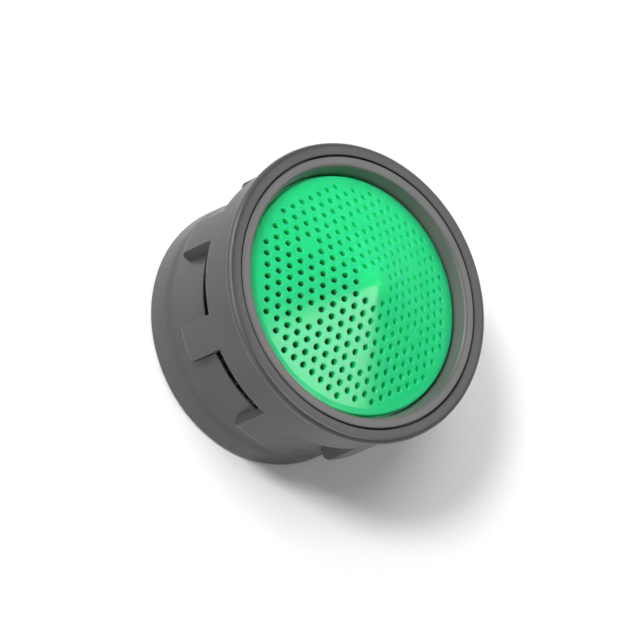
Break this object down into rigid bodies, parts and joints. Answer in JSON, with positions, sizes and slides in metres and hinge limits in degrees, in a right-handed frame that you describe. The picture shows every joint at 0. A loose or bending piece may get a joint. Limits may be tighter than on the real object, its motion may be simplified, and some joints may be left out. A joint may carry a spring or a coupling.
{
  "type": "tap nozzle filter",
  "caption": "Round tap aerator insert: a ribbed grey housing with air windows, a conical green sieve in a push-in cup at the inlet and a honeycomb grid at the outlet.",
  "frame": {"origin": "centre of the outlet end, in the plane that the part stands on", "axes": "+Z along the flow axis from the outlet up to the sieve, +X through the middle of one rib"},
  "size_m": [0.0208, 0.0208, 0.0139],
  "materials": {
    "housing_grey": "satin moulded",
    "cup_grey": "satin moulded",
    "sieve_green": "smooth moulded",
    "screen_steel": "bright wire"
  },
  "bodies": {
    "root": {"housing": "housing_grey", "jet_cup": "cup_grey", "sieve": "sieve_green", "mesh_screen_lower": "screen_steel", "mesh_screen_upper": "screen_steel"}
  },
  "joints": []
}
